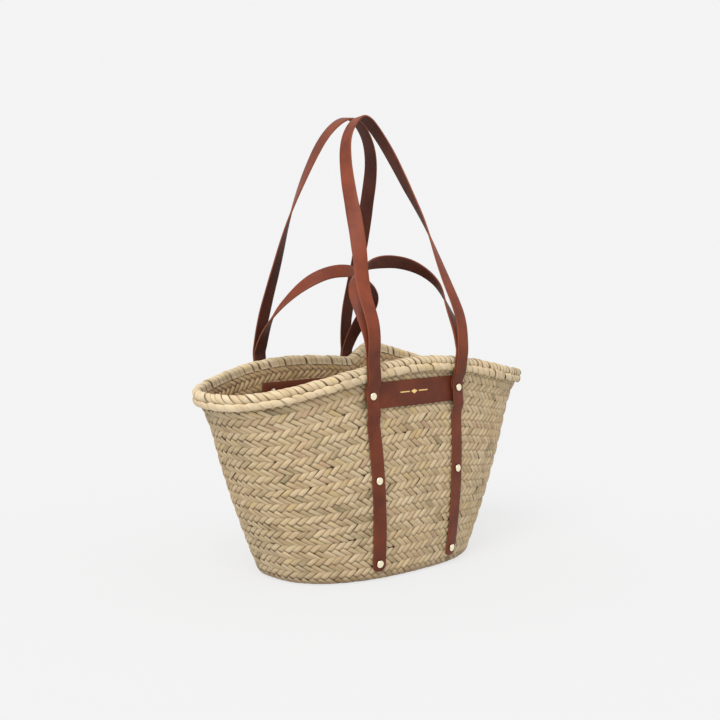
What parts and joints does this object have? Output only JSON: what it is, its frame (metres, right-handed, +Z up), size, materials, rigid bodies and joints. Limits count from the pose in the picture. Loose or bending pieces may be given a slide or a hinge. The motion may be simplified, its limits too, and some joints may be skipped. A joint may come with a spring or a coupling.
{
  "type": "market basket",
  "caption": "Boat-shaped woven palm basket with a bound rim, riveted leather legs, a leather band, and a long and a short carrying loop on each side.",
  "frame": {"origin": "middle of the base, on the floor it stands on", "axes": "+X along the long side, -Y towards the front (the side with the wide band), +Z up"},
  "size_m": [0.5598, 0.2464, 0.6158],
  "materials": {
    "palm": "plaited dry palm leaf",
    "leather": "smooth tan",
    "brass": "polished pale"
  },
  "bodies": {
    "basket": {"back_inner_band": "leather", "back_left_leg": "leather", "back_left_low_burr": "brass", "back_left_low_rivet": "brass", "back_left_mid_burr": "brass", "back_left_mid_rivet": "brass", "back_left_tab": "leather", "back_left_top_burr": "brass", "back_left_top_rivet": "brass", "back_outer_band": "leather", "back_right_leg": "leather", "back_right_low_burr": "brass", "back_right_low_rivet": "brass", "back_right_mid_burr": "brass", "back_right_mid_rivet": "brass", "back_right_tab": "leather", "back_right_top_burr": "brass", "back_right_top_rivet": "brass", "basket_base": "palm", "basket_wall": "palm", "front_inner_band": "leather", "front_left_leg": "leather", "front_left_low_burr": "brass", "front_left_low_rivet": "brass", "front_left_mid_burr": "brass", "front_left_mid_rivet": "brass", "front_left_tab": "leather", "front_left_top_burr": "brass", "front_left_top_rivet": "brass", "front_outer_band": "leather", "front_right_leg": "leather", "front_right_low_burr": "brass", "front_right_low_rivet": "brass", "front_right_mid_burr": "brass", "front_right_mid_rivet": "brass", "front_right_tab": "leather", "front_right_top_burr": "brass", "front_right_top_rivet": "brass", "rim_collar": "palm", "rim_roll": "palm"},
    "front_long": {"front_long_handle": "leather"},
    "front_short": {"front_short_handle": "leather"},
    "back_long": {"back_long_handle": "leather"},
    "back_short": {"back_short_handle": "leather"}
  },
  "joints": [
    {"name": "front_long_swing", "type": "hinge", "parent": "basket", "child": "front_long", "pos_m": [0, -0.10719, 0.29137], "axis": [0.9998, -0.0087, 0.0202], "range_deg": [0, 110]},
    {"name": "front_short_swing", "type": "hinge", "parent": "basket", "child": "front_short", "pos_m": [0, -0.10719, 0.29137], "axis": [0.9998, -0.0087, 0.0202], "range_deg": [0, 110]},
    {"name": "back_long_swing", "type": "hinge", "parent": "basket", "child": "back_long", "pos_m": [0, 0.13245, 0.28232], "axis": [-0.9996, 0.0088, 0.0273], "range_deg": [0, 110]},
    {"name": "back_short_swing", "type": "hinge", "parent": "basket", "child": "back_short", "pos_m": [0, 0.13245, 0.28232], "axis": [-0.9996, 0.0088, 0.0273], "range_deg": [0, 110]}
  ],
  "couplings": [
    {"joint": "front_short_swing", "follows": "front_long_swing", "ratio": 1},
    {"joint": "back_short_swing", "follows": "back_long_swing", "ratio": 1}
  ]
}
